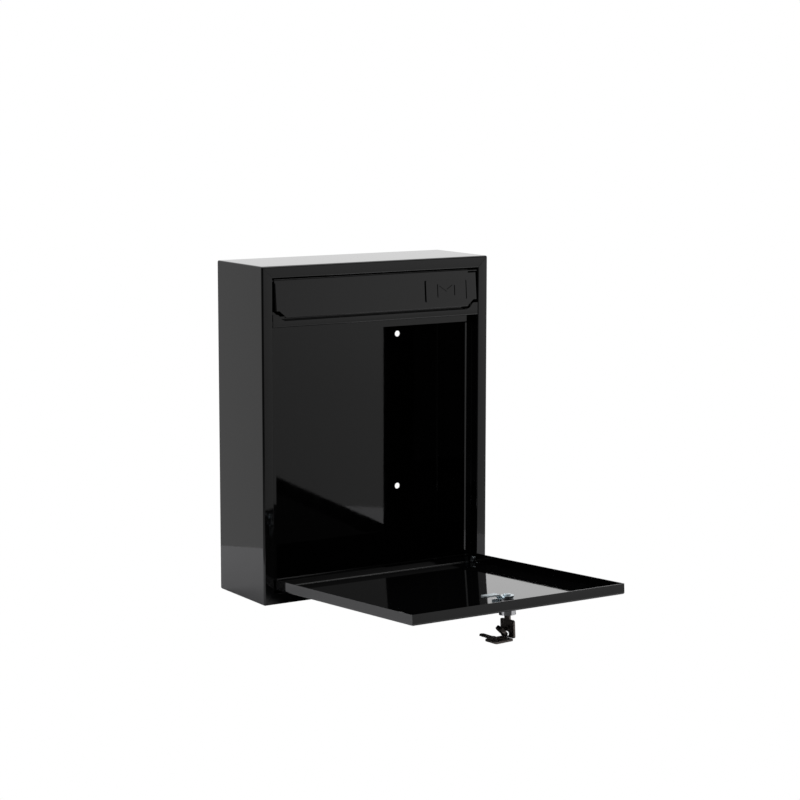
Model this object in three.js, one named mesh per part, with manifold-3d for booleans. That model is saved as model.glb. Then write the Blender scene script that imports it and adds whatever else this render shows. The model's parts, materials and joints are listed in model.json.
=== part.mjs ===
// A wall mounted mailbox folded from 1 mm steel: letter flap above, drop-down door with a cam lock below.
// Millimetres. X runs across the box, Y from the front to the wall and Z up. The origin is the middle of
// the back panel's outer face, where the box meets the wall. The door is shown open, with a key in its lock.

import * as THREE from 'three';
import { mergeVertices } from 'three/addons/utils/BufferGeometryUtils.js';
import Module from 'manifold-3d';

const wasm = await Module();
wasm.setup();

// ---- Driving dimensions ----

const BOX = { width: 315, height: 400, depth: 109 };
const SHEET = 1;
const FOLD = 2.2; // outer radius of the folds outside the box and the door
const INNER_FOLD = 1.4; // outer radius of the folds round its openings
const GAP = 0.3; // air between pieces that touch

const FLANGE = { width: 14.2, jamb: 13.8, stop: 10 }; // front border, its return and the door stop behind it
const RAIL = { foot: 128.1, top: 136.6, shoulder: 143.4, shoulderWidth: 5.4, slope: 8, sill: 9, lip: 9 };
const HOLES = { across: 190, up: 194, diameter: 7.5 };
const BACK_FLANGE = 12;

const DOOR = { width: 285.4, foot: -184.8, top: 127.6, rim: 12.4, hingeRim: 7.5, open: 86.3 };
const HINGE = { setback: 5, height: 7, pin: 4, head: 7, headThick: 1.6, overhang: 2.6 };

const ROD = { diameter: 3, setback: 3.4, overhang: 2.2 };
const PUSH_RING = { thick: 1, wall: 0.7 };
const FLAP = { width: 281.4, foot: 139.2, sheet: 0.8, lean: 4.4, bend: 1.4, flangeRear: 1.3, corner: 4.2 };
const HEM = { bend: 1, length: 4 }; // the flap's foot, bent back
const CURL = { turn: 285, bareLength: 12, bareDepth: 5.2 };
const BADGE = { width: 60, height: 26, thick: 0.8, line: 1.6, relief: 0.9, fromCentre: 96.4, aboveFoot: 21 };
const ENVELOPE = { width: 26, height: 16, flap: 8.5 };

const LOCK = { fromEdge: 28, bezel: 19, proud: 8.8, body: 16, flats: 13.6, reach: 9, plug: 10, bore: 10.6 };
const CLIP = { thick: 1.3, notch: 6.3, half: 13, tail: 11, ahead: 9, tab: 6.6, tabInner: 2 };
const WAFERS = { count: 4, first: -5.5, pitch: 3, thick: 0.9, width: 6 };
const KEYWAY = { width: 2.8, height: 7.2 };
const TAIL = { square: 6.6, length: 2.1, thread: 3.6 };
const CAM = { length: 33, width: 11, thick: 1.8, hub: 15, crank: 4.8 };
const WASHER = { diameter: 16.4, bore: 4.4, thick: 1.2 };
const SCREW = { head: 8.4, headHeight: 1.2, shank: 3, recess: 0.6, bar: 1, barLength: 5.2 };
const KEY = { reach: 34.2, length: 41.5, thick: 2.2, blade: 6.4, neck: 4, neckWidth: 9.6 };
const BOW = { width: 25.6, length: 20, corner: 2.4 };
const KEY_SLOT = { fromEdge: 4, aside: -3, length: 12, height: 5 };
const TEETH = { count: 5, pitch: 2.3, crest: 0.8, shallow: 0.5, step: 0.45 };
const RING = { radius: 7, radial: 1.2, axial: 4 };

// ---- Materials ----

const paint = new THREE.MeshStandardMaterial({ color: 0x0b0b0c, roughness: 0.12, metalness: 0.1 });
const zinc = new THREE.MeshStandardMaterial({ color: 0xb9c4ca, roughness: 0.32, metalness: 1 });
const chrome = new THREE.MeshStandardMaterial({ color: 0xd8d8dc, roughness: 0.08, metalness: 1 });
const brass = new THREE.MeshStandardMaterial({ color: 0xb08d4a, roughness: 0.35, metalness: 1 });
const keyMetal = new THREE.MeshStandardMaterial({ color: 0x8d857c, roughness: 0.3, metalness: 1 });

// ---- Places worked out from the driving dimensions ----

const front = -BOX.depth;
const halfWidth = BOX.width / 2;
const halfHeight = BOX.height / 2;
const jambX = halfWidth - FLANGE.width; // the side jambs' faces towards the opening
const slotTop = halfHeight - FLANGE.width - 0.5;
const stopFront = front + FLANGE.jamb - SHEET;
const pivot = new THREE.Vector3(0, front + HINGE.setback, DOOR.foot + HINGE.height);
const lockHeight = DOOR.top - LOCK.fromEdge;
const curlRadius = ROD.diameter / 2 + GAP + FLAP.sheet; // outside of the flap's curl
const rodCentre = new THREE.Vector2(front + ROD.setback, slotTop - curlRadius);
const lean = THREE.MathUtils.degToRad(FLAP.lean);

// ---- Solids: joining and cutting ----

function solidFrom(geometry) {
  const bare = geometry.clone();
  bare.deleteAttribute('normal');
  bare.deleteAttribute('uv');
  const merged = mergeVertices(bare, 1e-4);
  const vertProperties = new Float32Array(merged.attributes.position.array);
  const triVerts = new Uint32Array(merged.index.array);
  return new wasm.Manifold(new wasm.Mesh({ numProp: 3, vertProperties, triVerts }));
}

function geometryFrom(solid) {
  const mesh = solid.getMesh();
  const geometry = new THREE.BufferGeometry();
  geometry.setAttribute('position', new THREE.BufferAttribute(new Float32Array(mesh.vertProperties), 3));
  geometry.setIndex(new THREE.BufferAttribute(new Uint32Array(mesh.triVerts), 1));
  const faceted = geometry.toNonIndexed();
  faceted.computeVertexNormals();
  return faceted;
}

function joined(solids) {
  return solids.reduce((whole, next) => whole.add(next));
}

function cut(solid, tools) {
  return tools.reduce((left, tool) => left.subtract(tool), solid);
}

// ---- Solids: basic forms, each given by its limits ----

function block(x, y, z) {
  const geometry = new THREE.BoxGeometry(x[1] - x[0], y[1] - y[0], z[1] - z[0]);
  geometry.translate((x[0] + x[1]) / 2, (y[0] + y[1]) / 2, (z[0] + z[1]) / 2);
  return solidFrom(geometry);
}

// An outline drawn in (Y, Z), carried along X.
function alongX(outline, from, to, segments = 10) {
  const geometry = new THREE.ExtrudeGeometry(outline, {
    depth: to - from,
    bevelEnabled: false,
    curveSegments: segments,
  });
  const axes = new THREE.Matrix4().set(0, 0, 1, from, 1, 0, 0, 0, 0, 1, 0, 0, 0, 0, 0, 1);
  return solidFrom(geometry.applyMatrix4(axes));
}

// An outline drawn in (X, Z), carried along Y.
function alongY(outline, from, to, segments = 10) {
  const geometry = new THREE.ExtrudeGeometry(outline, {
    depth: to - from,
    bevelEnabled: false,
    curveSegments: segments,
  });
  const axes = new THREE.Matrix4().set(1, 0, 0, 0, 0, 0, -1, to, 0, 1, 0, 0, 0, 0, 0, 1);
  return solidFrom(geometry.applyMatrix4(axes));
}

// An outline drawn in (X, Y), carried along Z.
function alongZ(outline, from, to) {
  const geometry = new THREE.ExtrudeGeometry(outline, { depth: to - from, bevelEnabled: false });
  geometry.translate(0, 0, from);
  return solidFrom(geometry);
}

function rodAlongX(diameter, from, to, y, z, sides = 20) {
  const geometry = new THREE.CylinderGeometry(diameter / 2, diameter / 2, to - from, sides);
  geometry.rotateZ(Math.PI / 2);
  geometry.translate((from + to) / 2, y, z);
  return solidFrom(geometry);
}

function rodAlongY(diameter, from, to, x, z, sides = 24) {
  const geometry = new THREE.CylinderGeometry(diameter / 2, diameter / 2, to - from, sides);
  geometry.translate(x, (from + to) / 2, z);
  return solidFrom(geometry);
}

function circle(x, z, radius) {
  const outline = new THREE.Shape();
  outline.absarc(x, z, radius, 0, 2 * Math.PI);
  return outline;
}

function roundedRectangle(centre, width, height, radius) {
  const [left, right] = [centre.x - width / 2, centre.x + width / 2];
  const [low, high] = [centre.y - height / 2, centre.y + height / 2];
  const outline = new THREE.Shape();
  outline.moveTo(left + radius, low);
  outline.absarc(right - radius, low + radius, radius, -Math.PI / 2, 0);
  outline.absarc(right - radius, high - radius, radius, 0, Math.PI / 2);
  outline.absarc(left + radius, high - radius, radius, Math.PI / 2, Math.PI);
  outline.absarc(left + radius, low + radius, radius, Math.PI, 1.5 * Math.PI);
  return outline;
}

// ---- Folded sheet ----

// The outline of a folded sheet. The corners are where the middles of its straight runs would meet, and
// each fold between them is an arc with the given outer radius, or with one of its own from a list.
function foldedSheet(corners, thickness = SHEET, outerRadius = FOLD) {
  const places = [];
  corners.forEach((corner, index) => {
    const before = corners[index - 1];
    const after = corners[index + 1];
    const arriving = before ? corner.clone().sub(before).normalize() : null;
    const leaving = after ? after.clone().sub(corner).normalize() : null;
    if (!arriving || !leaving) {
      const along = arriving ?? leaving;
      places.push({ point: corner.clone(), side: new THREE.Vector2(-along.y, along.x) });
      return;
    }
    const radius = Array.isArray(outerRadius) ? outerRadius[index] : outerRadius;
    const middleRadius = radius - thickness / 2;
    const turn = Math.atan2(arriving.cross(leaving), arriving.dot(leaving));
    const hand = Math.sign(turn);
    const start = corner.clone().addScaledVector(arriving, -middleRadius * Math.tan(Math.abs(turn) / 2));
    const startSide = new THREE.Vector2(-arriving.y, arriving.x);
    const centre = start.clone().addScaledVector(startSide, hand * middleRadius);
    const steps = Math.max(2, Math.ceil(Math.abs(turn) / (Math.PI / 8)));
    for (let step = 0; step <= steps; step += 1) {
      const side = startSide.clone().rotateAround(new THREE.Vector2(), (turn * step) / steps);
      places.push({ point: centre.clone().addScaledVector(side, -hand * middleRadius), side });
    }
  });
  const one = places.map(({ point, side }) => point.clone().addScaledVector(side, thickness / 2));
  const other = places.map(({ point, side }) => point.clone().addScaledVector(side, -thickness / 2));
  return [...one, ...other.reverse()];
}

// Carries a closed outline of (inward, backward) points round a rectangle that faces the front. Its corners
// have the given radius outside, which shrinks to almost nothing inside, as a mitre does.
function roundTheRectangle(outline, width, height, cornerRadius, centreZ = 0) {
  const steps = 4;
  const corners = [[1, 1], [-1, 1], [-1, -1], [1, -1]];
  const positions = [];
  corners.forEach(([right, up], quarter) => {
    for (let step = 0; step <= steps; step += 1) {
      const angle = (quarter + step / steps) * (Math.PI / 2);
      outline.forEach(({ x: inward, y: backward }) => {
        const radius = Math.max(cornerRadius - inward, 0.2);
        const x = right * (width / 2 - inward - radius) + radius * Math.cos(angle);
        const z = up * (height / 2 - inward - radius) + radius * Math.sin(angle);
        positions.push(x, front + backward, centreZ + z);
      });
    }
  });
  const stations = corners.length * (steps + 1);
  const count = outline.length;
  const area = THREE.ShapeUtils.area(outline);
  const index = [];
  for (let station = 0; station < stations; station += 1) {
    const next = (station + 1) % stations;
    for (let place = 0; place < count; place += 1) {
      const after = (place + 1) % count;
      const [here, there] = [station * count, next * count];
      const quad = [here + place, there + place, there + after, here + after];
      const [a, b, c, d] = area > 0 ? quad : [...quad].reverse();
      index.push(a, b, c, a, c, d);
    }
  }
  const geometry = new THREE.BufferGeometry();
  geometry.setAttribute('position', new THREE.BufferAttribute(new Float32Array(positions), 3));
  geometry.setIndex(index);
  return solidFrom(geometry);
}

const at = (x, y) => new THREE.Vector2(x, y);

// ---- The body ----

// Sides, top and bottom with the front border. Behind the border the sheet turns back as a jamb, and round
// the doorway it turns inward once more as the door's stop.
function bodyWrapper() {
  const half = SHEET / 2;
  const folded = foldedSheet([
    at(half, BOX.depth),
    at(half, half),
    at(FLANGE.width - half, half),
    at(FLANGE.width - half, FLANGE.jamb - half),
    at(FLANGE.width + FLANGE.stop, FLANGE.jamb - half),
  ], SHEET, [0, FOLD, INNER_FOLD, INNER_FOLD, 0]);
  const shell = roundTheRectangle(folded, BOX.width, BOX.height, 2.2);
  const noStopAboveRail = block(
    [-jambX + 0.01, jambX - 0.01],
    [stopFront - FOLD, front + FLANGE.jamb + 1],
    [RAIL.foot - FLANGE.stop - 0.5, slotTop - 0.01],
  );
  const rodHoles = [-1, 1].map((side) => {
    const [y, z] = [rodCentre.x, rodCentre.y];
    return rodAlongX(ROD.diameter + 2 * GAP, side * jambX - 2, side * jambX + 2, y, z);
  });
  const pinHoles = [-1, 1].map((side) => {
    return rodAlongX(HINGE.pin + 2 * GAP, side * jambX - 2, side * jambX + 2, pivot.y, pivot.z);
  });
  return cut(shell, [noStopAboveRail, ...mitreLines(), ...rodHoles, ...pinHoles]);
}

// The fine lines where the front border's four strips meet at its corners.
function mitreLines() {
  const depth = 0.25;
  const lines = [];
  for (const side of [-1, 1]) {
    for (const up of [-1, 1]) {
      const geometry = new THREE.BoxGeometry(FLANGE.width * Math.SQRT2, 2 * depth, 0.3);
      geometry.rotateY(-side * up * (Math.PI / 4));
      geometry.translate(side * (halfWidth - FLANGE.width / 2), front, up * (halfHeight - FLANGE.width / 2));
      lines.push(solidFrom(geometry));
    }
  }
  return lines;
}

// A shallow tray whose edges turn forward inside the wrapper, with four holes for the wall screws.
function backPanel() {
  const [width, height] = [BOX.width - 2 * (SHEET + GAP), BOX.height - 2 * (SHEET + GAP)];
  const half = SHEET / 2;
  const edge = foldedSheet([
    at(half, BOX.depth - BACK_FLANGE),
    at(half, BOX.depth - half),
    at(BACK_FLANGE, BOX.depth - half),
  ]);
  const rim = roundTheRectangle(edge, width, height, 1.2);
  const [reachX, reachZ] = [width / 2 - BACK_FLANGE + 2, height / 2 - BACK_FLANGE + 2];
  const plate = block([-reachX, reachX], [-SHEET, 0], [-reachZ, reachZ]);
  const holes = [];
  for (const side of [-1, 1]) {
    for (const level of [-1, 1]) {
      const outline = circle((side * HOLES.across) / 2, (level * HOLES.up) / 2, HOLES.diameter / 2);
      holes.push(alongY(outline, -SHEET - 1, 1, 16));
    }
  }
  return cut(rim.add(plate), holes);
}

// The rail between the letter slot and the doorway: a face with raised shoulders, a sill behind its upper
// edge that ends in a rain lip, and a return behind its foot that ends in the door's upper stop.
function crossRail() {
  const half = SHEET / 2;
  const reach = jambX - GAP;
  const folded = foldedSheet([
    at(front + FLANGE.jamb - half, RAIL.foot - FLANGE.stop + 1),
    at(front + FLANGE.jamb - half, RAIL.foot + half),
    at(front + half, RAIL.foot + half),
    at(front + half, RAIL.top - half),
    at(front + RAIL.sill, RAIL.top - half),
    at(front + RAIL.sill, RAIL.top + RAIL.lip),
  ], SHEET, INNER_FOLD);
  const rail = alongX(new THREE.Shape(folded), -reach, reach);
  const shoulders = [-1, 1].map((side) => {
    const inner = reach - RAIL.shoulderWidth;
    const outline = new THREE.Shape();
    outline.moveTo(side * reach, RAIL.top - INNER_FOLD);
    outline.lineTo(side * reach, RAIL.shoulder);
    outline.lineTo(side * inner, RAIL.shoulder);
    outline.bezierCurveTo(
      side * (inner - RAIL.slope * 0.5), RAIL.shoulder,
      side * (inner - RAIL.slope * 0.5), RAIL.top,
      side * (inner - RAIL.slope * 1.2), RAIL.top - 0.4,
    );
    outline.lineTo(side * (inner - RAIL.slope * 1.2), RAIL.top - INNER_FOLD);
    return alongY(outline, front, front + SHEET, 6);
  });
  const endRelief = [-1, 1].map((side) => {
    const edge = side * (reach - 3);
    const x = [Math.min(edge, side * (reach + 1)), Math.max(edge, side * (reach + 1))];
    return block(x, [stopFront - FOLD, front + FLANGE.jamb + 1], [RAIL.foot - FLANGE.stop, RAIL.foot - 0.5]);
  });
  return cut(joined([rail, ...shoulders]), endRelief);
}

// A headed pin through the jamb, on which one side of the door turns.
function doorPin(side) {
  const inner = DOOR.width / 2 - SHEET - GAP;
  const end = jambX + SHEET + HINGE.overhang;
  const spans = [[inner - HINGE.headThick, inner, HINGE.head], [inner - 0.1, end, HINGE.pin]];
  const parts = spans.map(([near, far, diameter]) => {
    const [from, to] = side > 0 ? [near, far] : [-far, -near];
    return rodAlongX(diameter, from, to, pivot.y, pivot.z);
  });
  return joined(parts);
}

// A push-on ring that grips the end of a pin or of the flap's rod behind the jamb.
function pushRing(side, shaft, y, z) {
  const near = jambX + SHEET + GAP;
  const far = near + PUSH_RING.thick;
  const [from, to] = side > 0 ? [near, far] : [-far, -near];
  const ring = rodAlongX(shaft + 2 * PUSH_RING.wall, from, to, y, z);
  return cut(ring, [rodAlongX(shaft + 2 * GAP, from - 1, to + 1, y, z)]);
}

// ---- The letter flap ----

function flapRod() {
  const half = jambX + SHEET + ROD.overhang;
  return rodAlongX(ROD.diameter, -half, half, rodCentre.x, rodCentre.y);
}

const leanDown = at(-Math.sin(lean), -Math.cos(lean));
const leanOut = at(-Math.cos(lean), Math.sin(lean));
const flapFaceTop = rodCentre.clone().addScaledVector(leanOut, curlRadius - FLAP.sheet / 2);
const flapFaceLength = (rodCentre.y - FLAP.foot) / Math.cos(lean);

// The flap's sheet: a curl round the rod, a face that leans outward to its foot, and a hem turned back
// under it. Its sides turn back as well, and its lower corners follow the rail's shoulders.
function letterFlap() {
  const bend = FLAP.bend;
  const half = FLAP.sheet / 2;
  const hemRadius = HEM.bend - half;
  const faceFoot = flapFaceTop.clone().addScaledVector(leanDown, flapFaceLength - HEM.bend);
  const inner = [];
  const outer = [];
  const curlSteps = 18;
  const outAngle = Math.atan2(leanOut.y, leanOut.x);
  for (let step = 0; step <= curlSteps; step += 1) {
    const angle = outAngle - (1 - step / curlSteps) * THREE.MathUtils.degToRad(CURL.turn);
    const ray = at(Math.cos(angle), Math.sin(angle));
    inner.push(rodCentre.clone().addScaledVector(ray, curlRadius - FLAP.sheet));
    outer.push(rodCentre.clone().addScaledVector(ray, curlRadius));
  }
  const hemSteps = 6;
  const hemCentre = faceFoot.clone().addScaledVector(leanOut, -hemRadius);
  for (let step = 0; step <= hemSteps; step += 1) {
    const side = leanOut.clone().rotateAround(at(0, 0), (step / hemSteps) * (Math.PI / 2));
    inner.push(hemCentre.clone().addScaledVector(side, hemRadius - half));
    outer.push(hemCentre.clone().addScaledVector(side, hemRadius + half));
  }
  const hemEnd = at(HEM.length - HEM.bend, 0).rotateAround(at(0, 0), -lean);
  inner.push(inner.at(-1).clone().add(hemEnd));
  outer.push(outer.at(-1).clone().add(hemEnd));
  const reach = FLAP.width / 2;
  const sheet = alongX(new THREE.Shape([...inner, ...outer.reverse()]), -reach, reach);
  const squareEnds = [-1, 1].map((side) => {
    const [near, far] = [reach - bend, reach + 1];
    const x = side > 0 ? [near, far] : [-far, -near];
    return block(x, [front - 12, front + 12], [FLAP.foot - 2, rodCentre.y - curlRadius]);
  });
  const face = cut(sheet, squareEnds);
  return cut(joined([face, ...[-1, 1].map(sideFlange)]), [...flapCorners(), curlNotch()]);
}

// One side of the flap, bent back from its face. Its rear edge is upright while the face leans.
function sideFlange(side) {
  const half = FLAP.sheet / 2;
  const edge = FLAP.width / 2 - half;
  const section = foldedSheet([at(edge - FLAP.bend, 0), at(edge, 0), at(edge, 12)], FLAP.sheet, FLAP.bend);
  const mirrored = section.map((point) => at(side * point.x, point.y));
  const outline = new THREE.Shape(side > 0 ? mirrored : mirrored.reverse());
  const strip = alongZ(outline, -flapFaceLength, -curlRadius);
  const leaning = strip.rotate([-FLAP.lean, 0, 0]).translate([0, flapFaceTop.x, flapFaceTop.y]);
  const rear = [front + FLAP.flangeRear, front + 30];
  const behind = block([-halfWidth, halfWidth], rear, [FLAP.foot - 10, halfHeight]);
  return cut(leaning, [behind]);
}

// What is cut off the flap's lower corners, so that they run beside the rail's shoulders.
function flapCorners() {
  const clear = FLAP.corner;
  const inner = jambX - GAP - RAIL.shoulderWidth;
  return [-1, 1].map((side) => {
    const outline = new THREE.Shape([
      at(side * (jambX + 2), RAIL.top - 12),
      at(side * (jambX + 2), RAIL.shoulder + clear),
      at(side * (inner - clear / 2), RAIL.shoulder + clear),
      at(side * (inner - RAIL.slope - clear / 2), RAIL.top + clear),
      at(side * (inner - RAIL.slope - 2 * clear), RAIL.top - 12),
    ]);
    return alongY(outline, front - 12, front + 12);
  });
}

// The curl stops short of the flap's right end, and leaves the rod bare there.
function curlNotch() {
  const depth = CURL.bareDepth;
  return block(
    [FLAP.width / 2 - CURL.bareLength, FLAP.width / 2 + 1],
    [front - 1, front + 12],
    [rodCentre.y - depth / 2, rodCentre.y + depth],
  );
}

// A plain raised border round an envelope sign, on the flap's face.
function flapBadge() {
  const { width, height, thick, line, relief } = BADGE;
  const face = -thick;
  const border = new THREE.Shape(roundedRectangle(at(0, 0), width, height, 1.5).getPoints(3));
  const field = roundedRectangle(at(0, 0), width - 2 * line, height - 2 * line, 1);
  border.holes.push(new THREE.Path(field.getPoints(3)));
  const plate = alongY(roundedRectangle(at(0, 0), width, height, 1.5), face, 0, 3);
  const [across, up] = [ENVELOPE.width, ENVELOPE.height];
  const envelope = new THREE.Shape(roundedRectangle(at(0, 0), across, up, 0.8).getPoints(3));
  const paper = roundedRectangle(at(0, 0), across - 2 * line, up - 2 * line, 0.5);
  envelope.holes.push(new THREE.Path(paper.getPoints(3)));
  const corner = at(across / 2 - line / 2, up / 2 - line / 2);
  const point = corner.y - ENVELOPE.flap;
  const fold = new THREE.Shape([
    at(-corner.x, corner.y),
    at(-corner.x + 1.5 * line, corner.y),
    at(0, point + 1.5 * line),
    at(corner.x - 1.5 * line, corner.y),
    corner,
    at(0, point),
  ]);
  const reliefs = [border, envelope, fold].map((outline) => alongY(outline, face - relief, face + 0.2, 3));
  return joined([plate, ...reliefs]);
}

// ---- The door, drawn closed ----

function doorPan() {
  const half = SHEET / 2;
  const height = DOOR.top - DOOR.foot;
  const centreZ = (DOOR.top + DOOR.foot) / 2;
  const edge = foldedSheet([at(half, DOOR.rim), at(half, half), at(8, half)]);
  const rim = roundTheRectangle(edge, DOOR.width, height, 0.6, centreZ);
  const inset = 6;
  const [x, z] = [DOOR.width / 2 - inset, height / 2 - inset];
  const panel = block([-x, x], [front, front + SHEET], [centreZ - z, centreZ + z]);
  const lowHingeRim = block(
    [-DOOR.width / 2 + SHEET + 0.01, DOOR.width / 2 - SHEET - 0.01],
    [front + DOOR.hingeRim, front + DOOR.rim + 1],
    [DOOR.foot - 1, DOOR.foot + SHEET + 1],
  );
  const pinHoles = [-1, 1].map((side) => {
    const x0 = side * DOOR.width / 2;
    return rodAlongX(HINGE.pin + 2 * GAP, x0 - 3, x0 + 3, pivot.y, pivot.z);
  });
  const lockHole = lockOutline(LOCK.body + 2 * GAP, LOCK.flats + 2 * GAP);
  const lockCut = alongY(lockOutlineMoved(lockHole, lockHeight), front - 1, front + SHEET + 1, 10);
  return cut(rim.add(panel), [lowHingeRim, ...roundedHeels(), ...cornerSeams(), ...pinHoles, lockCut]);
}

// The side rims' lower rear corners are rounded about the pin, so that they turn in front of the stop.
function roundedHeels() {
  const reach = DOOR.rim - HINGE.setback;
  const outline = new THREE.Shape();
  outline.moveTo(pivot.y + reach + 1, pivot.z);
  outline.lineTo(pivot.y + reach, pivot.z);
  outline.absarc(pivot.y, pivot.z, reach, 0, -Math.PI * 0.36, true);
  outline.lineTo(pivot.y + reach * 0.43, pivot.z - 12);
  outline.lineTo(pivot.y + reach + 1, pivot.z - 12);
  return [-1, 1].map((side) => {
    const [near, far] = [DOOR.width / 2 - SHEET - 0.01, DOOR.width / 2 + 1];
    return side > 0 ? alongX(outline, near, far, 8) : alongX(outline, -far, -near, 8);
  });
}

// The open seams where two rims meet at the door's corners.
function cornerSeams() {
  const seams = [];
  for (const side of [-1, 1]) {
    for (const [z, up] of [[DOOR.top, 1], [DOOR.foot, -1]]) {
      const geometry = new THREE.BoxGeometry(4, DOOR.rim, 0.35);
      geometry.rotateY(-side * up * (Math.PI / 4));
      geometry.translate(side * DOOR.width / 2, front + DOOR.rim / 2 + FOLD, z);
      seams.push(solidFrom(geometry));
    }
  }
  return seams;
}

// ---- The cam lock, drawn closed and unlocked ----

// A circle with two flat sides, so that the lock can't turn in the door.
function lockOutline(diameter, flats) {
  const radius = diameter / 2;
  const corner = Math.acos(flats / diameter);
  const outline = new THREE.Shape();
  outline.absarc(0, 0, radius, corner, Math.PI - corner);
  outline.absarc(0, 0, radius, Math.PI + corner, 2 * Math.PI - corner);
  return outline;
}

function lockOutlineMoved(outline, z) {
  return new THREE.Shape(outline.getPoints(8).map((point) => at(point.x, point.y + z)));
}

function lockBarrel() {
  const bezel = rodAlongY(LOCK.bezel, front - LOCK.proud, front - GAP, 0, lockHeight, 36);
  const outline = lockOutlineMoved(lockOutline(LOCK.body, LOCK.flats), lockHeight);
  const body = alongY(outline, front - GAP - 0.5, front + LOCK.reach);
  const bore = rodAlongY(LOCK.bore, front - LOCK.proud - 1, front + LOCK.reach + 1, 0, lockHeight);
  const grooves = [-1, 1].map((side) => {
    const [near, far] = [CLIP.notch - GAP, LOCK.body];
    const x = side > 0 ? [near, far] : [-far, -near];
    const y = [front + SHEET + GAP, front + SHEET + 3 * GAP + CLIP.thick];
    return block(x, y, [lockHeight - 12, lockHeight + 12]);
  });
  return cut(bezel.add(body), [bore, ...grooves]);
}

// A U of zinc plated steel pushed into the barrel's grooves behind the door. Half of its end is turned up as
// a tab.
function lockClip() {
  const near = front + SHEET + 2 * GAP;
  const through = [near - 1, near + CLIP.thick + 1];
  const [low, high] = [lockHeight - CLIP.tail, lockHeight + CLIP.ahead];
  const plate = block([-CLIP.half, CLIP.half], [near, near + CLIP.thick], [low, high]);
  const notch = block([-CLIP.notch, CLIP.notch], through, [lockHeight - LOCK.body / 2 - 0.4, high + 1]);
  const tab = block([-CLIP.half, -CLIP.tabInner], [near, near + CLIP.tab], [low, low + CLIP.thick]);
  return cut(plate.add(tab), [notch]);
}

function waferPlace(index) {
  return front + WAFERS.first + index * WAFERS.pitch;
}

// The plug turns in the barrel. It has a slot for the key, four slots across it for the wafers, a square
// tail for the cam and a threaded hole for the cam's screw.
function lockPlug() {
  const face = front - LOCK.proud + 0.2;
  const body = rodAlongY(LOCK.plug, face, front + LOCK.reach, 0, lockHeight, 32);
  const half = TAIL.square / 2;
  const [tailStart, tailEnd] = [front + LOCK.reach - 0.2, front + LOCK.reach + TAIL.length];
  const tail = block([-half, half], [tailStart, tailEnd], [lockHeight - half, lockHeight + half]);
  const keyway = block(
    [-KEYWAY.width / 2, KEYWAY.width / 2],
    [face - 1, front + LOCK.reach - 1.2],
    [lockHeight - KEYWAY.height / 2, lockHeight + KEYWAY.height / 2],
  );
  const slots = Array.from({ length: WAFERS.count }, (_, index) => {
    const y = waferPlace(index);
    return block(
      [-WAFERS.width / 2 - GAP, WAFERS.width / 2 + GAP],
      [y - WAFERS.thick / 2 - GAP, y + WAFERS.thick / 2 + GAP],
      [lockHeight - LOCK.plug, lockHeight + LOCK.plug],
    );
  });
  const thread = rodAlongY(TAIL.thread, front + LOCK.reach, tailEnd + 1, 0, lockHeight);
  return cut(body.add(tail), [keyway, ...slots, thread]);
}

function lockWafer(index) {
  const y = waferPlace(index);
  const round = rodAlongY(LOCK.plug - 0.1, y - WAFERS.thick / 2, y + WAFERS.thick / 2, 0, lockHeight, 32);
  const half = WAFERS.width / 2;
  const width = block([-half, half], [y - 2, y + 2], [lockHeight - 8, lockHeight + 8]);
  const window = block(
    [-KEYWAY.width / 2, KEYWAY.width / 2],
    [y - 2, y + 2],
    [lockHeight - KEYWAY.height / 2, lockHeight + KEYWAY.height / 2],
  );
  return cut(round.intersect(width), [window]);
}

// The cam: a hub on the plug's square tail and a lever, cranked away from the door, that points to the left
// when the lock is open and up behind the rail when it is locked.
function camLever() {
  const hubFront = front + LOCK.reach + GAP;
  const leverFront = hubFront + CAM.crank;
  const hub = rodAlongY(CAM.hub, hubFront, hubFront + CAM.thick, 0, lockHeight, 32);
  const tip = CAM.width / 2;
  const [rampStart, rampEnd] = [WASHER.diameter / 2 + 0.8, WASHER.diameter / 2 + 5];
  const lever = new THREE.Shape([
    at(-rampEnd, lockHeight - tip),
    at(-rampEnd, lockHeight + tip),
    at(-CAM.length + 3, lockHeight + tip),
    at(-CAM.length, lockHeight + tip - 3),
    at(-CAM.length, lockHeight - tip + 3),
    at(-CAM.length + 3, lockHeight - tip),
  ]);
  const crank = new THREE.Shape([
    at(-TAIL.square, hubFront),
    at(-TAIL.square, hubFront + CAM.thick),
    at(-rampStart, hubFront + CAM.thick),
    at(-rampEnd, leverFront + CAM.thick),
    at(-rampEnd - 1, leverFront + CAM.thick),
    at(-rampEnd - 1, leverFront),
    at(-rampEnd, leverFront),
    at(-rampStart, hubFront),
  ]);
  const crankSolid = alongZ(crank, lockHeight - tip, lockHeight + tip);
  const square = TAIL.square / 2 + GAP;
  const through = [hubFront - 1, leverFront + 3];
  const hole = block([-square, square], through, [lockHeight - square, lockHeight + square]);
  return cut(joined([hub, alongY(lever, leverFront, leverFront + CAM.thick), crankSolid]), [hole]);
}

function camWasher() {
  const from = front + LOCK.reach + TAIL.length + GAP;
  const washer = rodAlongY(WASHER.diameter, from, from + WASHER.thick, 0, lockHeight, 28);
  return cut(washer, [rodAlongY(WASHER.bore, from - 1, from + 2, 0, lockHeight, 16)]);
}

function camScrew() {
  const seat = front + LOCK.reach + TAIL.length + WASHER.thick + 2 * GAP;
  const top = seat + SCREW.headHeight;
  const head = rodAlongY(SCREW.head, seat, top, 0, lockHeight, 24);
  const shank = rodAlongY(SCREW.shank, front + LOCK.reach + 2 * GAP, seat + 0.2, 0, lockHeight, 16);
  const depth = [top - SCREW.recess, top + 1];
  const [long, short] = [SCREW.barLength / 2, SCREW.bar / 2];
  const cross = [
    block([-long, long], depth, [lockHeight - short, lockHeight + short]),
    block([-short, short], depth, [lockHeight - long, lockHeight + long]),
  ];
  return cut(head.add(shank), cross);
}

// ---- The keys ----

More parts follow.
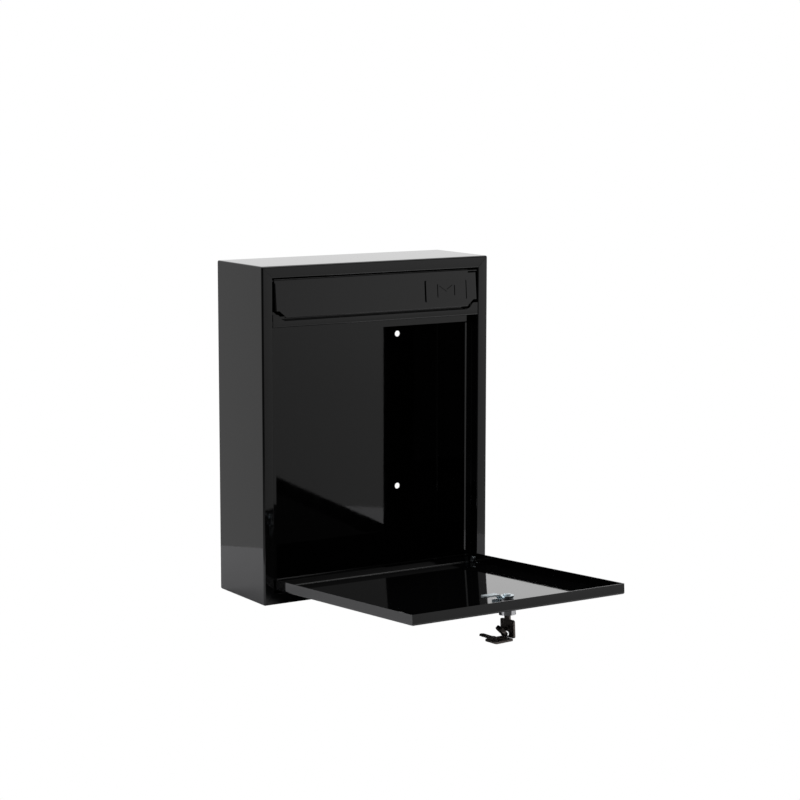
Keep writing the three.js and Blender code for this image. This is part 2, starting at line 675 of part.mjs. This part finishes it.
// A flat key about its own axis: the blade's tip points along +Y, the bow's far edge is at y = 0, and the
// key lies in the YZ plane.
function flatKey() {
  const bowHalf = BOW.width / 2;
  const bow = roundedRectangle(at(BOW.length / 2, 0), BOW.length, BOW.width, BOW.corner);
  const bowShape = new THREE.Shape(bow.getPoints(4));
  const slotPlace = at(KEY_SLOT.fromEdge, KEY_SLOT.aside);
  const slot = roundedRectangle(slotPlace, KEY_SLOT.height, KEY_SLOT.length, KEY_SLOT.height / 2 - 0.1);
  bowShape.holes.push(new THREE.Path(slot.getPoints(4)));
  const neckEnd = BOW.length + KEY.neck;
  const [half, neck] = [KEY.blade / 2, KEY.neckWidth / 2];
  const blade = [at(BOW.length - 0.5, -neck), at(neckEnd, -neck), at(neckEnd + 1.5, -half)];
  for (let tooth = 0; tooth < TEETH.count; tooth += 1) {
    const start = neckEnd + 4 + tooth * TEETH.pitch;
    const bite = TEETH.shallow + TEETH.step * ((tooth * 2) % 3);
    blade.push(at(start, -half), at(start + TEETH.crest, -half + bite), at(start + 1.4, -half + bite));
  }
  blade.push(at(KEY.length - 1.6, -half), at(KEY.length, -half + 1.8));
  blade.push(at(KEY.length, half - 1.8), at(KEY.length - 1.6, half));
  blade.push(at(neckEnd + 1.5, half), at(neckEnd, neck), at(BOW.length - 0.5, neck));
  const thick = KEY.thick / 2;
  const ridges = [];
  for (const level of [0.5, 0.64, 0.78, 0.92]) {
    const y = BOW.length * level;
    ridges.push(block([-thick - 0.25, thick + 0.25], [y - 0.6, y + 0.6], [-bowHalf + 2, bowHalf - 2]));
  }
  const parts = [alongX(bowShape, -thick, thick, 4), alongX(new THREE.Shape(blade), -thick, thick)];
  return joined([...parts, ...ridges]);
}

// A split ring drawn as one flat coil with a groove between its two turns.
function keyRing() {
  const { radius, radial, axial } = RING;
  const [near, far] = [radius - radial / 2, radius + radial / 2];
  const half = axial / 2;
  const section = [
    at(near, -half), at(far - 0.2, -half), at(far, -half + 0.3), at(far, -0.25), at(far - 0.3, 0),
    at(far, 0.25), at(far, half - 0.3), at(far - 0.2, half), at(near, half), at(near, -half),
  ];
  return solidFrom(new THREE.LatheGeometry(section, 40));
}

// ---- Assembly ----

function part(name, solid, material) {
  const mesh = new THREE.Mesh(geometryFrom(solid), material);
  mesh.name = name;
  return mesh;
}

function withSides(name, make, material) {
  return [['left', -1], ['right', 1]].map(([word, side]) => part(`${name}_${word}`, make(side), material));
}

const body = new THREE.Group();
body.add(part('body_wrapper', bodyWrapper(), paint));
body.add(part('back_panel', backPanel(), paint));
body.add(part('cross_rail', crossRail(), paint));
body.add(...withSides('door_pin', doorPin, zinc));
body.add(...withSides('door_pin_ring', (side) => pushRing(side, HINGE.pin, pivot.y, pivot.z), zinc));
body.add(part('flap_rod', flapRod(), paint));
const rodRing = (side) => pushRing(side, ROD.diameter, rodCentre.x, rodCentre.y);
body.add(...withSides('flap_rod_ring', rodRing, zinc));

const flap = new THREE.Group();
flap.add(part('letter_flap', letterFlap(), paint));
const badge = part('flap_badge', flapBadge(), paint);
const badgeHeight = FLAP.foot + BADGE.aboveFoot;
const fallFromRod = rodCentre.y - badgeHeight;
badge.position.set(
  BADGE.fromCentre,
  rodCentre.x - curlRadius / Math.cos(lean) - fallFromRod * Math.tan(lean) - 0.1,
  badgeHeight,
);
badge.rotation.x = -lean;
flap.add(badge);

const lock = new THREE.Group();
lock.add(part('lock_plug', lockPlug(), brass));
for (let index = 0; index < WAFERS.count; index += 1) {
  lock.add(part(`lock_wafer_${index + 1}`, lockWafer(index), brass));
}
lock.add(part('lock_cam', camLever(), zinc));
lock.add(part('cam_washer', camWasher(), zinc));
lock.add(part('cam_screw', camScrew(), zinc));

const key = part('key_1', flatKey(), keyMetal);
key.position.set(0, front - KEY.reach, lockHeight);
lock.add(key);

const doorParts = new THREE.Group();
doorParts.position.copy(pivot).negate();
doorParts.add(part('door_pan', doorPan(), paint));
doorParts.add(part('lock_barrel', lockBarrel(), chrome));
doorParts.add(part('lock_clip', lockClip(), zinc));
doorParts.add(lock);

const door = new THREE.Group();
door.position.copy(pivot);
door.rotation.x = THREE.MathUtils.degToRad(DOOR.open);
door.add(doorParts);

// The spare key lies flat at the level of the box's underside, and the ring leans on the first key's bow.
const openTurn = new THREE.Euler(THREE.MathUtils.degToRad(DOOR.open), 0, 0);
const slotOfKey = new THREE.Vector3(0, front - KEY.reach + KEY_SLOT.fromEdge, lockHeight + KEY_SLOT.aside);
slotOfKey.sub(pivot).applyEuler(openTurn).add(pivot);

const ring = part('key_ring', keyRing(), keyMetal);
const ringOffset = new THREE.Vector3(-7.05, -0.98, 3.43); // from the slot to the ring's middle
ring.position.copy(slotOfKey).add(ringOffset);
const ringNormal = new THREE.Vector3(0.71, -0.09, 0.7).normalize();
ring.quaternion.setFromUnitVectors(new THREE.Vector3(0, 1, 0), ringNormal);

const spareKey = part('key_2', flatKey(), keyMetal);
spareKey.rotation.y = Math.PI / 2;
const spareKeyPlace = new THREE.Group();
spareKeyPlace.position.set(-16.5, slotOfKey.y - 21, -halfHeight + KEY.thick / 2 + 0.4);
spareKeyPlace.rotation.z = THREE.MathUtils.degToRad(6);
spareKeyPlace.add(spareKey);

const mailbox = new THREE.Group();
mailbox.add(body, flap, door, ring, spareKeyPlace);

export default mailbox;
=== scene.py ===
# The looks of a wall mounted mailbox: gloss black powder coat, zinc, chrome and nickel, on a white floor.

import json
import math

import bmesh
import bpy
from mathutils import Matrix, Vector


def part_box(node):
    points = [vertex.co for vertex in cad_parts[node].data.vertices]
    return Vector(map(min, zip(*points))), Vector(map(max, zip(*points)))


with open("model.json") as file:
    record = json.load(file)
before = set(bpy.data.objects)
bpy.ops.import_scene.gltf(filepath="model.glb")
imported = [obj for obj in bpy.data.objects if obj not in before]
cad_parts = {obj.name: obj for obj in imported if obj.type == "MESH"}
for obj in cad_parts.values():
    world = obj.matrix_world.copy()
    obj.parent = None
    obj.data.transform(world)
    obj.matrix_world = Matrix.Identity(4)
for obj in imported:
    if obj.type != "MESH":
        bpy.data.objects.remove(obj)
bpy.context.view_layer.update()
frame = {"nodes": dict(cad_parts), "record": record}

scene = bpy.context.scene
MM = 0.001

# The camera: where it looks from, and how long its lens is.
AZIMUTH = math.radians(32.237)
ELEVATION = math.radians(8.213)
ROLL = math.radians(0.0485)
DISTANCE = 2.75763
AIM = Vector((0.04795, -0.08176, 0.02623))
LENS = 101.749

# The floor is at the height of the box's underside.
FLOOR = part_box("body_wrapper")[0][2]
TURNTABLE = {"radius": 0.40, "thick": 0.02, "rounding": 0.002, "sides": 96, "middle": (0.005, -0.056)}
FLOOR_GAP = 0.2 * MM  # air between the box and the turntable

SHARP = math.radians(35)  # folds turn by less from facet to facet, and real edges by more
BLACK_TONES = ((0.001, 0.001, 0.0011), (0.002, 0.002, 0.0022))
WHITE_TONES = ((0.84, 0.84, 0.86), (0.9, 0.9, 0.92))

# The sockets of a Mix node that mixes colours.
MIX_SHARE = 0
MIX_ONE = 6
MIX_OTHER = 7
MIXED = 2


# ---- Small helpers for node trees ----


def new_material(name):
    material = bpy.data.materials.new(name)
    material.use_nodes = True
    tree = material.node_tree
    shader = tree.nodes["Principled BSDF"]
    return material, tree, shader


def add(tree, kind, **settings):
    node = tree.nodes.new(kind)
    for name, value in settings.items():
        setattr(node, name, value)
    return node


def tone(tree, value, dark, light):
    """A colour between two tones, by a value from 0 to 1."""
    mix = add(tree, "ShaderNodeMix", data_type="RGBA")
    mix.inputs[MIX_ONE].default_value = (*dark, 1)
    mix.inputs[MIX_OTHER].default_value = (*light, 1)
    tree.links.new(value, mix.inputs[MIX_SHARE])
    return mix.outputs[MIXED]


def noise(tree, scale, detail):
    """Noise in the object's own metres, so its grain has a real size. Scale is in cells per metre."""
    place = add(tree, "ShaderNodeTexCoord")
    texture = add(tree, "ShaderNodeTexNoise")
    texture.inputs["Scale"].default_value = scale
    texture.inputs["Detail"].default_value = detail
    tree.links.new(place.outputs["Object"], texture.inputs["Vector"])
    return texture.outputs["Fac"]


def spread(tree, value, low, high):
    """Maps a noise value, mostly 0.3 to 0.7, to the range from low to high."""
    mapping = add(tree, "ShaderNodeMapRange")
    mapping.inputs["From Min"].default_value = 0.3
    mapping.inputs["From Max"].default_value = 0.7
    mapping.inputs["To Min"].default_value = low
    mapping.inputs["To Max"].default_value = high
    tree.links.new(value, mapping.inputs["Value"])
    return mapping.outputs["Result"]


def bump(tree, shader, height, distance, strength, below=None):
    """Puts a relief on a shader, over the one below it if there is one."""
    node = add(tree, "ShaderNodeBump")
    node.inputs["Strength"].default_value = strength
    node.inputs["Distance"].default_value = distance
    tree.links.new(height, node.inputs["Height"])
    if below is not None:
        tree.links.new(below, node.inputs["Normal"])
    tree.links.new(node.outputs["Normal"], shader.inputs["Normal"])
    return node.outputs["Normal"]


# ---- Materials ----


def black_powder_coat():
    """Gloss black powder coat: orange peel about 3 mm across over a very slight wave in the sheet."""
    material, tree, shader = new_material("gloss_black_powder_coat")
    tint = tone(tree, noise(tree, 120, 4), *BLACK_TONES)
    tree.links.new(tint, shader.inputs["Base Color"])
    tree.links.new(spread(tree, noise(tree, 60, 4), 0.035, 0.06), shader.inputs["Roughness"])
    shader.inputs["IOR"].default_value = 1.5
    wave = bump(tree, shader, noise(tree, 14, 1), 0.4 * MM, 0.1)
    bump(tree, shader, noise(tree, 330, 1), 0.06 * MM, 0.12, below=wave)
    return material


def plated_metal(name, dark, light, roughness, grain, depth):
    """Plated metal: two tones, uneven gloss and a fine grain, in cells per metre and millimetres deep."""
    material, tree, shader = new_material(name)
    tint = tone(tree, spread(tree, noise(tree, grain / 4, 5), 0.0, 1.0), dark, light)
    tree.links.new(tint, shader.inputs["Base Color"])
    tree.links.new(spread(tree, noise(tree, grain / 2, 4), *roughness), shader.inputs["Roughness"])
    shader.inputs["Metallic"].default_value = 1.0
    bump(tree, shader, noise(tree, grain, 3), depth * MM, 0.25)
    return material


PAINT = black_powder_coat()
ZINC = plated_metal("zinc_plate", (0.56, 0.64, 0.68), (0.8, 0.88, 0.92), (0.26, 0.42), 3000, 0.03)
CHROME = plated_metal("chrome_plate", (0.62, 0.62, 0.64), (0.72, 0.72, 0.74), (0.05, 0.1), 2000, 0.01)
BRASS = plated_metal("lock_brass", (0.5, 0.38, 0.18), (0.66, 0.52, 0.28), (0.22, 0.36), 2600, 0.03)
NICKEL = plated_metal("key_nickel", (0.1, 0.088, 0.079), (0.25, 0.22, 0.2), (0.24, 0.4), 2600, 0.04)

SLOT_LOOKS = {
    "gloss_black_paint": PAINT,
    "zinc_plate": ZINC,
    "chrome_plate": CHROME,
    "lock_brass": BRASS,
    "key_nickel": NICKEL,
}


# ---- The CAD nodes: smooth folds and materials ----


def smooth_by_angle(limit):
    """A node group that keeps edges sharper than the limit and smooths the rest."""
    group = bpy.data.node_groups.new("smooth_folds", "GeometryNodeTree")
    group.interface.new_socket("Geometry", in_out="INPUT", socket_type="NodeSocketGeometry")
    group.interface.new_socket("Geometry", in_out="OUTPUT", socket_type="NodeSocketGeometry")
    start = group.nodes.new("NodeGroupInput")
    end = group.nodes.new("NodeGroupOutput")
    angle = group.nodes.new("GeometryNodeInputMeshEdgeAngle")
    below = group.nodes.new("FunctionNodeCompare")
    below.data_type = "FLOAT"
    below.operation = "LESS_THAN"
    below.inputs[1].default_value = limit
    faces = group.nodes.new("GeometryNodeSetShadeSmooth")
    faces.domain = "FACE"
    edges = group.nodes.new("GeometryNodeSetShadeSmooth")
    edges.domain = "EDGE"
    links = group.links
    links.new(angle.outputs["Unsigned Angle"], below.inputs[0])
    links.new(start.outputs[0], faces.inputs["Geometry"])
    links.new(faces.outputs["Geometry"], edges.inputs["Geometry"])
    links.new(below.outputs["Result"], edges.inputs["Shade Smooth"])
    links.new(edges.outputs["Geometry"], end.inputs[0])
    return group


SMOOTH_FOLDS = smooth_by_angle(SHARP)


def finish_surface(obj):
    """Welds the facets, smooths the folds and keeps the flat faces flat."""
    weld = obj.modifiers.new("weld", "WELD")
    weld.merge_threshold = 0.01 * MM
    smooth = obj.modifiers.new("smooth_folds", "NODES")
    smooth.node_group = SMOOTH_FOLDS
    flats = obj.modifiers.new("true_flats", "WEIGHTED_NORMAL")
    flats.weight = 100
    flats.keep_sharp = True


def dress_cad_nodes():
    slots = {entry["node"]: entry["material_slot"] for entry in frame["record"]["subparts"]}
    for name, obj in frame["nodes"].items():
        for material_slot in obj.material_slots:
            material_slot.material = SLOT_LOOKS[slots[name]]
        finish_surface(obj)


dress_cad_nodes()


# ---- The studio ----


def matt_white():
    """Matt white board with a fine tooth. The camera sees it fully lit."""
    material, tree, shader = new_material("matt_white_board")
    tint = tone(tree, noise(tree, 40, 2), *WHITE_TONES)
    tree.links.new(tint, shader.inputs["Base Color"])
    shader.inputs["Roughness"].default_value = 1.0
    shader.inputs["Specular IOR Level"].default_value = 0.0
    bump(tree, shader, noise(tree, 900, 2), 0.05 * MM, 0.3)
    lit = add(tree, "ShaderNodeEmission")
    seen = add(tree, "ShaderNodeMixShader")
    tree.links.new(add(tree, "ShaderNodeLightPath").outputs["Is Camera Ray"], seen.inputs[0])
    tree.links.new(shader.outputs[0], seen.inputs[1])
    tree.links.new(lit.outputs[0], seen.inputs[2])
    tree.links.new(seen.outputs[0], tree.nodes["Material Output"].inputs["Surface"])
    return material


def studio_floor():
    """A round matt turntable under the box. It looks white, and the gloss paint mirrors its shade."""
    middle = Vector((*TURNTABLE["middle"], FLOOR - FLOOR_GAP - TURNTABLE["thick"] / 2))
    mesh = bpy.data.meshes.new("turntable")
    shape = bmesh.new()
    bmesh.ops.create_cone(
        shape,
        cap_ends=True,
        segments=TURNTABLE["sides"],
        radius1=TURNTABLE["radius"],
        radius2=TURNTABLE["radius"],
        depth=TURNTABLE["thick"],
        matrix=Matrix.Translation(middle),
    )
    rims = [edge for edge in shape.edges if abs(edge.verts[0].co.z - edge.verts[1].co.z) < MM]
    bmesh.ops.bevel(shape, geom=rims, offset=TURNTABLE["rounding"], segments=3, affect="EDGES", profile=0.5)
    shape.to_mesh(mesh)
    shape.free()
    floor = bpy.data.objects.new("turntable", mesh)
    scene.collection.objects.link(floor)
    mesh.materials.append(matt_white())


# Each wall of the studio is bright by azimuth and by elevation. Both are in degrees: azimuth is counted from
# the wall's own middle, and the wall's middle is counted from straight behind the box towards its right.
STUDIO_WALLS = [
    {
        "middle": 0,
        "across": [(-75, 0.0), (-58, 0.5), (-12, 0.52), (14, 0.96), (70, 0.96), (88, 0.0)],
        "up": [(-40, 0.4), (-25, 1.0), (28, 1.0), (38, 0.0)],
    },
    {
        "middle": 147.8,
        "across": [(-50, 0.0), (-34, 1.1), (-4, 1.1), (-2, 1.0), (3.5, 0.74), (8, 0.6), (14, 0.0)],
        "up": [(-40, 0.8), (-15, 1.0), (-11, 0.42), (-8, 0.47), (-4.6, 0.6), (3, 0.66), (7, 0.6), (15, 0.0)],
    },
    {
        "middle": 212.2,
        "across": [(-60, 0.0), (-30, 0.6), (30, 0.6), (60, 0.0)],
        "up": [(-50, 0.7), (-14, 1.0), (-9.5, 0.0)],
    },
]
# The ceiling's brightness by elevation, and the level of the dark rest of the studio.
OVERHEAD = [(40, 0.0), (55, 1.95)]
DIM = 0.06


def degrees(tree, operation, one, other=None):
    """The angle in degrees from an inverse function of one or two values."""
    angle = add(tree, "ShaderNodeMath", operation=operation)
    tree.links.new(one, angle.inputs[0])
    if other is not None:
        tree.links.new(other, angle.inputs[1])
    turned = add(tree, "ShaderNodeMath", operation="MULTIPLY")
    turned.inputs[1].default_value = 180 / math.pi
    tree.links.new(angle.outputs[0], turned.inputs[0])
    return turned.outputs[0]


def level_by(tree, value, levels):
    """Brightness read from a list of (degrees, level), straight between them and even beyond its ends."""
    (first, _), (last, _) = levels[0], levels[-1]
    ramp = add(tree, "ShaderNodeValToRGB")
    place = add(tree, "ShaderNodeMapRange")
    place.inputs["From Min"].default_value = first
    place.inputs["From Max"].default_value = last
    tree.links.new(value, place.inputs["Value"])
    tree.links.new(place.outputs["Result"], ramp.inputs["Fac"])
    marks = ramp.color_ramp.elements
    while len(marks) < len(levels):
        marks.new(0.5)
    for index, (angle, level) in enumerate(levels):
        marks[index].position = (angle - first) / (last - first)
        marks[index].color = (level, level, level, 1)
    return ramp.outputs["Color"]


def combined(tree, operation, one, other):
    node = add(tree, "ShaderNodeMix", data_type="RGBA", blend_type=operation)
    node.inputs[MIX_SHARE].default_value = 1.0
    tree.links.new(one, node.inputs[MIX_ONE])
    tree.links.new(other, node.inputs[MIX_OTHER])
    return node.outputs[MIXED]


def along(tree, place, direction):
    dot = add(tree, "ShaderNodeVectorMath", operation="DOT_PRODUCT")
    dot.inputs[1].default_value = direction
    tree.links.new(place, dot.inputs[0])
    return dot.outputs["Value"]


def studio_light():
    """Soft white walls round the box and a bright ceiling. What shows behind the box is plain white."""
    world = bpy.data.worlds.new("studio")
    scene.world = world
    world.use_nodes = True
    tree = world.node_tree
    background = tree.nodes["Background"]
    place = add(tree, "ShaderNodeTexCoord").outputs["Generated"]
    elevation = degrees(tree, "ARCSINE", along(tree, place, (0, 0, 1)))
    light = level_by(tree, elevation, OVERHEAD)
    for wall in STUDIO_WALLS:
        middle = math.radians(wall["middle"])
        ahead = along(tree, place, (math.sin(middle), math.cos(middle), 0))
        aside = along(tree, place, (math.cos(middle), -math.sin(middle), 0))
        azimuth = degrees(tree, "ARCTAN2", aside, ahead)
        by_azimuth = level_by(tree, azimuth, wall["across"])
        by_elevation = level_by(tree, elevation, wall["up"])
        light = combined(tree, "ADD", light, combined(tree, "MULTIPLY", by_azimuth, by_elevation))
    dim = add(tree, "ShaderNodeRGB")
    dim.outputs[0].default_value = (DIM, DIM, DIM, 1)
    light = combined(tree, "ADD", light, dim.outputs[0])
    backdrop = add(tree, "ShaderNodeMix", data_type="RGBA")
    backdrop.inputs[MIX_OTHER].default_value = (1, 1, 1, 1)
    tree.links.new(add(tree, "ShaderNodeLightPath").outputs["Is Camera Ray"], backdrop.inputs[MIX_SHARE])
    tree.links.new(light, backdrop.inputs[MIX_ONE])
    tree.links.new(backdrop.outputs[MIXED], background.inputs["Color"])


def camera_place():
    level = math.cos(ELEVATION)
    back = Vector((math.sin(AZIMUTH) * level, math.cos(AZIMUTH) * level, -math.sin(ELEVATION)))
    return AIM - back * DISTANCE


def photo_camera():
    data = bpy.data.cameras.new("photo_camera")
    data.lens = LENS
    data.sensor_width = 36
    camera = bpy.data.objects.new("photo_camera", data)
    scene.collection.objects.link(camera)
    turn = Matrix.Rotation(-AZIMUTH, 4, "Z") @ Matrix.Rotation(math.pi / 2 - ELEVATION, 4, "X")
    camera.matrix_world = Matrix.Translation(camera_place()) @ turn @ Matrix.Rotation(ROLL, 4, "Z")
    scene.camera = camera


scene.view_settings.view_transform = "Standard"
studio_floor()
studio_light()
photo_camera()
